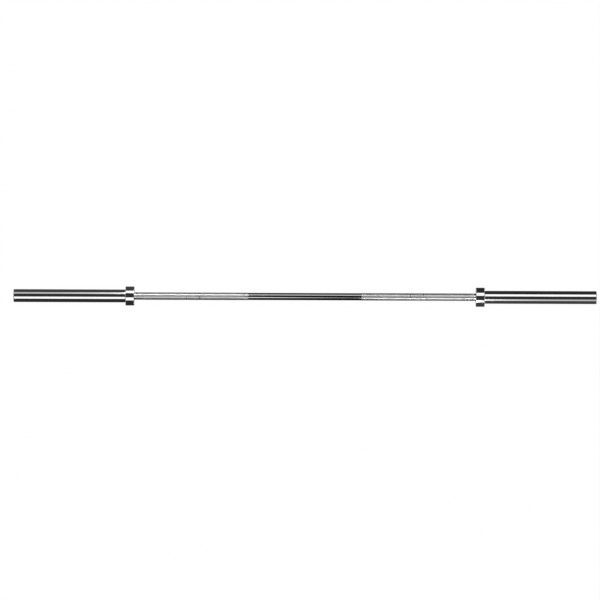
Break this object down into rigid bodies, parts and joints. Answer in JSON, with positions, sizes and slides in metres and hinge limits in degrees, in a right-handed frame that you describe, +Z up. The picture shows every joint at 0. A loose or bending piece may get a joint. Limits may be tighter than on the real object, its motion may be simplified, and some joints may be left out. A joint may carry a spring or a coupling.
{
  "type": "olympic barbell",
  "caption": "Long chromed steel weightlifting bar with a knurled grip, ring marks and stepped, free-turning sleeves that take weight plates.",
  "frame": {"origin": "middle of the bar on its axis, which is the centre of its bounding box", "axes": "+X along the bar to the right end, +Z up, +Y away from the viewer of the front"},
  "size_m": [2.238, 0.074, 0.074],
  "materials": {
    "shaft_chrome": "chromed steel, knurled in the grips and polished at the middle and the ring marks",
    "polished_chrome": "bright chrome on turned and polished steel",
    "seal_rubber": "matte black rubber",
    "washer_steel": "hardened and ground",
    "bushing_bronze": "oiled sintered bronze, satin",
    "bearing_steel": "ground bearing steel",
    "cage_steel": "pressed steel",
    "clip_steel": "black phosphated spring steel",
    "cap_plastic": "fine-grained black moulding, bare"
  },
  "bodies": {
    "shaft": {"shaft": "shaft_chrome", "left_inner_thrust_washer": "washer_steel", "left_outer_thrust_washer": "washer_steel", "left_shaft_circlip": "clip_steel", "right_inner_thrust_washer": "washer_steel", "right_outer_thrust_washer": "washer_steel", "right_shaft_circlip": "clip_steel"},
    "left_sleeve": {"left_sleeve_tube": "polished_chrome", "left_collar": "polished_chrome", "left_dust_seal": "seal_rubber", "left_inner_bushing": "bushing_bronze", "left_inner_bearing_cup": "bearing_steel", "left_outer_bearing_cup": "bearing_steel", "left_outer_bushing": "bushing_bronze", "left_end_cap": "cap_plastic", "left_cap_circlip": "clip_steel"},
    "left_inner_cage": {"left_inner_bearing_cage": "cage_steel", "left_inner_bearing_rollers": "bearing_steel"},
    "left_outer_cage": {"left_outer_bearing_cage": "cage_steel", "left_outer_bearing_rollers": "bearing_steel"},
    "right_sleeve": {"right_sleeve_tube": "polished_chrome", "right_collar": "polished_chrome", "right_dust_seal": "seal_rubber", "right_inner_bushing": "bushing_bronze", "right_inner_bearing_cup": "bearing_steel", "right_outer_bearing_cup": "bearing_steel", "right_outer_bushing": "bushing_bronze", "right_end_cap": "cap_plastic", "right_cap_circlip": "clip_steel"},
    "right_inner_cage": {"right_inner_bearing_cage": "cage_steel", "right_inner_bearing_rollers": "bearing_steel"},
    "right_outer_cage": {"right_outer_bearing_cage": "cage_steel", "right_outer_bearing_rollers": "bearing_steel"}
  },
  "joints": [
    {"name": "left_sleeve_spin", "type": "hinge", "parent": "shaft", "child": "left_sleeve", "pos_m": [-0.887, 0, 0], "axis": [1, 0, 0], "continuous": true},
    {"name": "left_inner_cage_spin", "type": "hinge", "parent": "shaft", "child": "left_inner_cage", "pos_m": [-0.6998, 0, 0], "axis": [1, 0, 0], "continuous": true},
    {"name": "left_outer_cage_spin", "type": "hinge", "parent": "shaft", "child": "left_outer_cage", "pos_m": [-1.0634, 0, 0], "axis": [1, 0, 0], "continuous": true},
    {"name": "right_sleeve_spin", "type": "hinge", "parent": "shaft", "child": "right_sleeve", "pos_m": [0.887, 0, 0], "axis": [1, 0, 0], "continuous": true},
    {"name": "right_inner_cage_spin", "type": "hinge", "parent": "shaft", "child": "right_inner_cage", "pos_m": [0.6998, 0, 0], "axis": [1, 0, 0], "continuous": true},
    {"name": "right_outer_cage_spin", "type": "hinge", "parent": "shaft", "child": "right_outer_cage", "pos_m": [1.0634, 0, 0], "axis": [1, 0, 0], "continuous": true}
  ],
  "couplings": [
    {"joint": "left_inner_cage_spin", "follows": "left_sleeve_spin", "ratio": 0.54612},
    {"joint": "left_outer_cage_spin", "follows": "left_sleeve_spin", "ratio": 0.54612},
    {"joint": "right_inner_cage_spin", "follows": "right_sleeve_spin", "ratio": 0.54612},
    {"joint": "right_outer_cage_spin", "follows": "right_sleeve_spin", "ratio": 0.54612}
  ]
}
